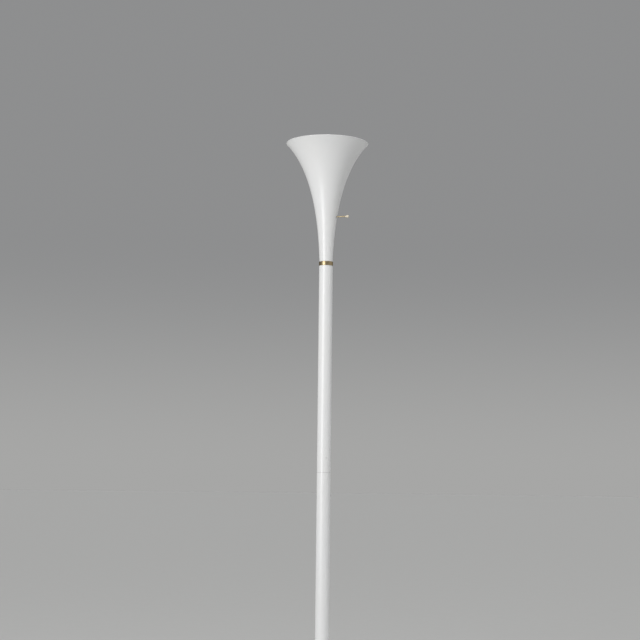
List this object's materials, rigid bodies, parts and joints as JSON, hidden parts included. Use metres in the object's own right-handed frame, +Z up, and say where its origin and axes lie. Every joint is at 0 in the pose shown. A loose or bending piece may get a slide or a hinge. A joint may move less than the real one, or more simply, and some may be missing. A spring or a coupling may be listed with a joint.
{
  "type": "torchiere floor lamp",
  "caption": "Tall floor lamp throwing light upward: spun trumpet shade on a slim jointed pole with a brass neck ring, side turn-knob and weighted round base.",
  "frame": {"origin": "centre of the felt's underside, on the floor, on the pole's axis", "axes": "+Z up along the pole, +X along the switch rod towards its knob; the mains cord enters the base from -X"},
  "size_m": [0.2668, 0.2668, 1.7608],
  "materials": {
    "white_enamel": "semi-gloss white enamel on steel",
    "shade_enamel": "semi-gloss white enamel on spun aluminium",
    "brass": "satin lacquered brass",
    "lampholder_brass": "bright brass plate",
    "contact_brass": "plain rolled brass",
    "zinc_steel": "zinc plated",
    "spring_steel": "oiled spring steel",
    "bare_steel": "turned steel, lightly oiled",
    "cast_iron": "rough casting with a thin black coat",
    "felt": "pressed wool felt",
    "bushing_plastic": "moulded nylon",
    "liner_board": "vulcanised fibre board",
    "moulded_block": "moulded phenolic",
    "lamp_aluminium": "drawn aluminium",
    "solder": "tin solder",
    "bulb_insulator_glass": "black vitrified glass",
    "frosted_glass": "inside-frosted glass",
    "clear_glass": "clear pressed glass",
    "bulb_wire": "nickel wire",
    "tungsten": "coiled tungsten",
    "insulation_dark": "vinyl insulation",
    "insulation_light": "vinyl insulation",
    "copper": "bare stranded copper"
  },
  "bodies": {
    "stand": {"base_felt": "felt", "base_weight": "cast_iron", "base_cover": "white_enamel", "cord_bushing": "bushing_plastic", "base_nipple": "zinc_steel", "base_washer": "zinc_steel", "base_lock_washer": "spring_steel", "base_nut": "zinc_steel", "pole_foot_plug": "bare_steel", "lower_tube": "white_enamel", "tube_coupler": "bare_steel", "coupler_screw": "white_enamel", "upper_tube": "white_enamel", "pole_top_plug": "bare_steel", "neck_ring": "brass", "neck_nipple": "zinc_steel", "shade": "shade_enamel", "shade_foot_plate": "bare_steel", "shade_washer": "zinc_steel", "shade_nut": "zinc_steel", "socket_cap": "lampholder_brass", "socket_cap_screw": "lampholder_brass", "socket_shell": "lampholder_brass", "socket_liner": "liner_board", "socket_block": "moulded_block", "terminal_screws": "contact_brass", "screw_shell": "lamp_aluminium", "centre_contact": "contact_brass", "ring_contact": "contact_brass", "switch_leaf": "contact_brass", "lead_live": "insulation_dark", "lead_neutral": "insulation_light", "lead_ends": "copper"},
    "switch": {"switch_cam": "moulded_block", "switch_rod": "brass", "switch_knob": "brass"},
    "bulb_contact": {"bulb_tip": "solder"},
    "bulb": {"bulb_ring": "contact_brass", "bulb_insulator": "bulb_insulator_glass", "bulb_cap": "lamp_aluminium", "bulb_glass": "frosted_glass", "bulb_stem": "clear_glass", "bulb_supports": "bulb_wire", "bulb_filaments": "tungsten"}
  },
  "joints": [
    {"name": "switch_turn", "type": "hinge", "parent": "stand", "child": "switch", "pos_m": [0, 0, 1.5185], "axis": [1, 0, 0], "continuous": true},
    {"name": "bulb_lift", "type": "slide", "parent": "stand", "child": "bulb_contact", "axis": [0, 0, 1], "range_m": [0, 0.022]},
    {"name": "bulb_unscrew", "type": "hinge", "parent": "bulb_contact", "child": "bulb", "pos_m": [0, 0, 1.5354], "axis": [0, 0, 1], "range_deg": [0, 2160]}
  ],
  "couplings": [
    {"joint": "bulb_lift", "follows": "bulb_unscrew", "m_per_rad": 0.00057757}
  ]
}
